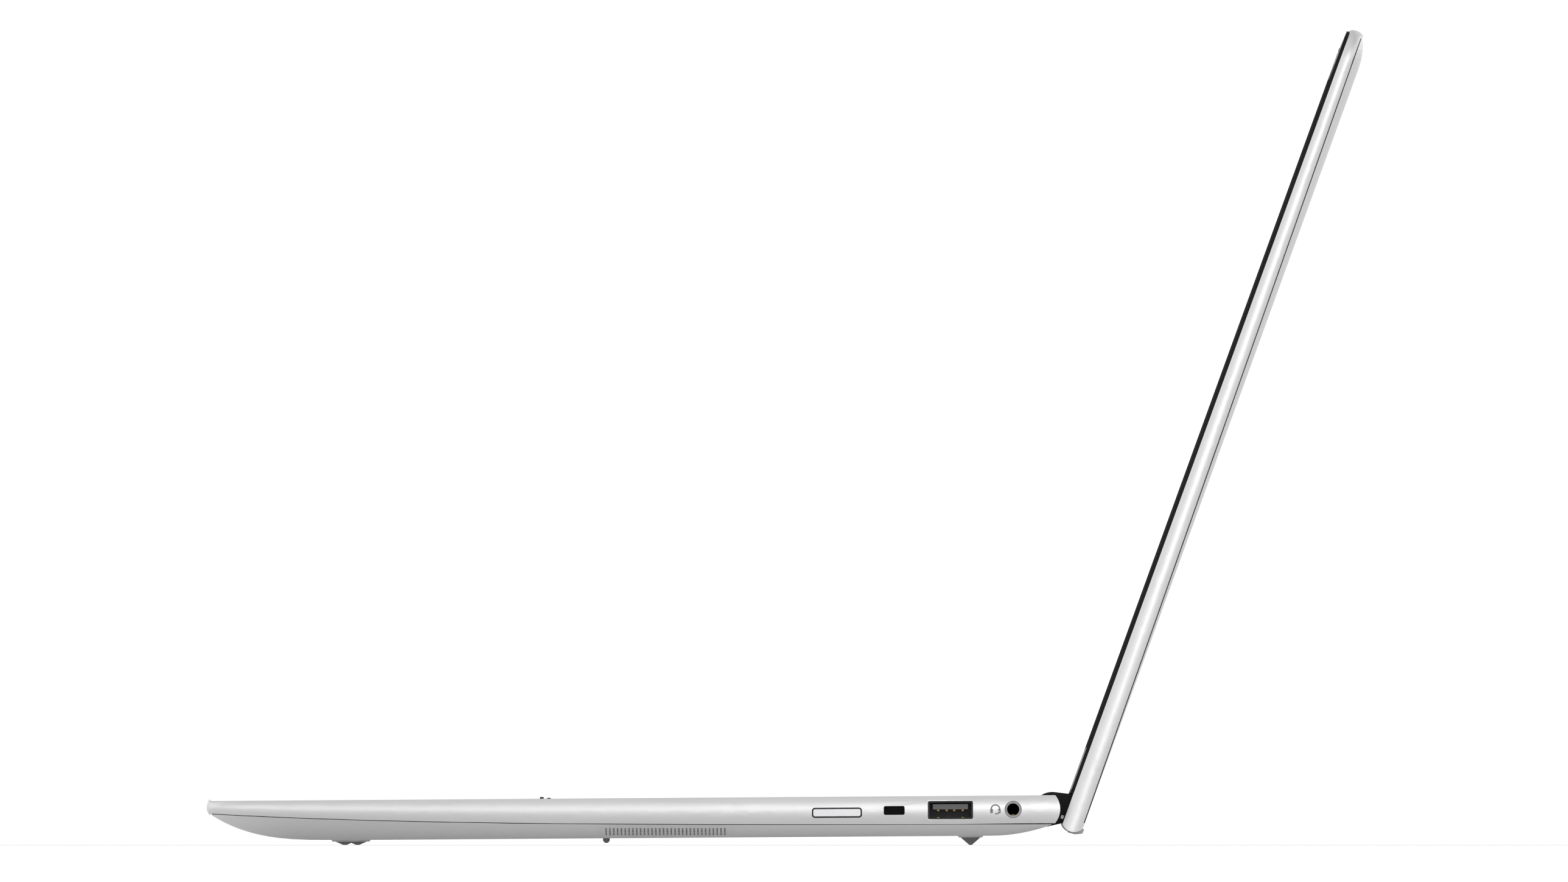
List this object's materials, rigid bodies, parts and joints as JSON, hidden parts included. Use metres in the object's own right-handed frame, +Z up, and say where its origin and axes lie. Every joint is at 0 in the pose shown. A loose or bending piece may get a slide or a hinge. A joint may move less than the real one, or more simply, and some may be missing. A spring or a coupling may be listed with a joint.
{
  "type": "laptop computer",
  "caption": "Thin silver clamshell laptop, open past upright, with tilting lid, keyboard, touchpad, pointing stick, side ports, card tray and rubber feet.",
  "frame": {"origin": "centre of the bounding box on the table plane, with the lid open at 110 degrees", "axes": "+X to the user's right, +Y from the front edge towards the back, +Z up"},
  "size_m": [0.3594, 0.3397, 0.2392],
  "materials": {
    "silver_aluminium": "fine bead-blasted, satin",
    "touchpad_glass": "satin glass-like sheet",
    "button_plastic": "satin",
    "key_plastic": "fine matte",
    "black_plastic": "matte",
    "gasket_rubber": "matte",
    "foot_rubber": "matte",
    "dome_rubber": "matte",
    "trim_plastic": "matte",
    "steel": "brushed",
    "screw_steel": "turned",
    "port_metal": "stamped",
    "port_plastic": "satin",
    "tray_metal": "satin",
    "screen": "anti-glare",
    "board": "solder mask",
    "battery": "wrapped",
    "copper": "copper, satin",
    "fan_plastic": "matte"
  },
  "bodies": {
    "base": {"top_case": "silver_aluminium", "bottom_cover": "silver_aluminium", "keyboard_plate": "steel", "rubber_domes": "dome_rubber", "pointing_stick": "dome_rubber", "deck_bumpers": "gasket_rubber", "front_foot_left": "foot_rubber", "front_foot_right": "foot_rubber", "rear_foot": "foot_rubber", "centre_foot": "foot_rubber", "bottom_screws": "screw_steel", "hinge_screws": "screw_steel", "hinge_bracket_left": "steel", "hinge_bracket_right": "steel", "hinge_pin_left": "steel", "hinge_pin_right": "steel", "usb_a_port_right": "port_metal", "usb_a_port_left": "port_metal", "usb_c_ports": "port_metal", "hdmi_port": "port_metal", "audio_jack": "port_plastic", "sim_socket": "port_metal", "lock_slot_insert": "port_plastic", "main_board": "board", "battery_pack": "battery", "fan_housing": "black_plastic", "heat_pipe": "copper", "ssd_module": "board", "wireless_card": "board", "speaker_left": "black_plastic", "speaker_right": "black_plastic"},
    "lid": {"lid_cover": "silver_aluminium", "display_panel": "screen", "display_bezel": "black_plastic", "screen_gasket": "gasket_rubber", "webcam_module": "board", "hinge_cover": "black_plastic", "hinge_trim": "trim_plastic", "hinge_arm_left": "steel", "hinge_arm_right": "steel", "lid_screws": "screw_steel"},
    "fan": {"fan_rotor": "fan_plastic"},
    "sim_tray_slide": {"sim_tray": "tray_metal"},
    "shutter": {"webcam_shutter": "black_plastic"},
    "touchpad_plate": {"touchpad": "touchpad_glass"},
    "left_button": {"stick_button_left": "button_plastic"},
    "right_button": {"stick_button_right": "button_plastic"},
    "function_keys_body": {"function_keys": "key_plastic"},
    "number_keys_body": {"number_keys": "key_plastic"},
    "upper_letter_keys_body": {"upper_letter_keys": "key_plastic"},
    "home_letter_keys_body": {"home_letter_keys": "key_plastic"},
    "lower_letter_keys_body": {"lower_letter_keys": "key_plastic"},
    "bottom_row_keys_body": {"bottom_row_keys": "key_plastic"},
    "escape_key_body": {"escape_key": "key_plastic"},
    "power_key_body": {"power_key": "key_plastic"},
    "backspace_key_body": {"backspace_key": "key_plastic"},
    "enter_key_body": {"enter_key": "key_plastic"},
    "left_shift_key_body": {"left_shift_key": "key_plastic"},
    "right_shift_key_body": {"right_shift_key": "key_plastic"},
    "space_bar_body": {"space_bar": "key_plastic"}
  },
  "joints": [
    {"name": "lid_hinge", "type": "hinge", "parent": "base", "child": "lid", "pos_m": [0, 0.07712, 0.01018], "axis": [-1, 0, 0], "range_deg": [-110.35, 69.65]},
    {"name": "fan_spin", "type": "hinge", "parent": "base", "child": "fan", "pos_m": [0.1, 0.01045, 0.00613], "axis": [0, -0.0068, 1], "continuous": true},
    {"name": "sim_tray_pull", "type": "slide", "parent": "base", "child": "sim_tray_slide", "axis": [1, 0, 0], "range_m": [0, 0.018]},
    {"name": "shutter_slide", "type": "slide", "parent": "lid", "child": "shutter", "axis": [-1, 0, 0], "range_m": [0, 0.0044]},
    {"name": "touchpad_click", "type": "hinge", "parent": "base", "child": "touchpad_plate", "pos_m": [0, -0.07759, 0.01203], "axis": [1, 0, 0], "range_deg": [0, 0.36], "stiffness_Nm_per_rad": 60, "springref_deg": -0.23},
    {"name": "left_button_press", "type": "slide", "parent": "base", "child": "left_button", "axis": [0, 0.0068, -1], "range_m": [0, 0.0006], "stiffness_N_per_m": 1200, "springref_m": -0.0004},
    {"name": "right_button_press", "type": "slide", "parent": "base", "child": "right_button", "axis": [0, 0.0068, -1], "range_m": [0, 0.0006], "stiffness_N_per_m": 1200, "springref_m": -0.0004},
    {"name": "escape_key_press", "type": "slide", "parent": "base", "child": "escape_key_body", "axis": [0, 0.0068, -1], "range_m": [0, 0.0014], "stiffness_N_per_m": 350, "springref_m": -0.0006},
    {"name": "power_key_press", "type": "slide", "parent": "base", "child": "power_key_body", "axis": [0, 0.0068, -1], "range_m": [0, 0.0014], "stiffness_N_per_m": 350, "springref_m": -0.0006},
    {"name": "backspace_key_press", "type": "slide", "parent": "base", "child": "backspace_key_body", "axis": [0, 0.0068, -1], "range_m": [0, 0.0014], "stiffness_N_per_m": 350, "springref_m": -0.0006},
    {"name": "enter_key_press", "type": "slide", "parent": "base", "child": "enter_key_body", "axis": [0, 0.0068, -1], "range_m": [0, 0.0014], "stiffness_N_per_m": 350, "springref_m": -0.0006},
    {"name": "left_shift_key_press", "type": "slide", "parent": "base", "child": "left_shift_key_body", "axis": [0, 0.0068, -1], "range_m": [0, 0.0014], "stiffness_N_per_m": 350, "springref_m": -0.0006},
    {"name": "right_shift_key_press", "type": "slide", "parent": "base", "child": "right_shift_key_body", "axis": [0, 0.0068, -1], "range_m": [0, 0.0014], "stiffness_N_per_m": 350, "springref_m": -0.0006},
    {"name": "space_bar_press", "type": "slide", "parent": "base", "child": "space_bar_body", "axis": [0, 0.0068, -1], "range_m": [0, 0.0014], "stiffness_N_per_m": 350, "springref_m": -0.0006},
    {"name": "function_keys_press", "type": "slide", "parent": "base", "child": "function_keys_body", "axis": [0, 0.0068, -1], "range_m": [0, 0.0014], "stiffness_N_per_m": 4550, "springref_m": -0.0006},
    {"name": "number_keys_press", "type": "slide", "parent": "base", "child": "number_keys_body", "axis": [0, 0.0068, -1], "range_m": [0, 0.0014], "stiffness_N_per_m": 4550, "springref_m": -0.0006},
    {"name": "upper_letter_keys_press", "type": "slide", "parent": "base", "child": "upper_letter_keys_body", "axis": [0, 0.0068, -1], "range_m": [0, 0.0014], "stiffness_N_per_m": 4900, "springref_m": -0.0006},
    {"name": "home_letter_keys_press", "type": "slide", "parent": "base", "child": "home_letter_keys_body", "axis": [0, 0.0068, -1], "range_m": [0, 0.0014], "stiffness_N_per_m": 4200, "springref_m": -0.0006},
    {"name": "lower_letter_keys_press", "type": "slide", "parent": "base", "child": "lower_letter_keys_body", "axis": [0, 0.0068, -1], "range_m": [0, 0.0014], "stiffness_N_per_m": 3500, "springref_m": -0.0006},
    {"name": "bottom_row_keys_press", "type": "slide", "parent": "base", "child": "bottom_row_keys_body", "axis": [0, 0.0068, -1], "range_m": [0, 0.0014], "stiffness_N_per_m": 3500, "springref_m": -0.0006}
  ]
}
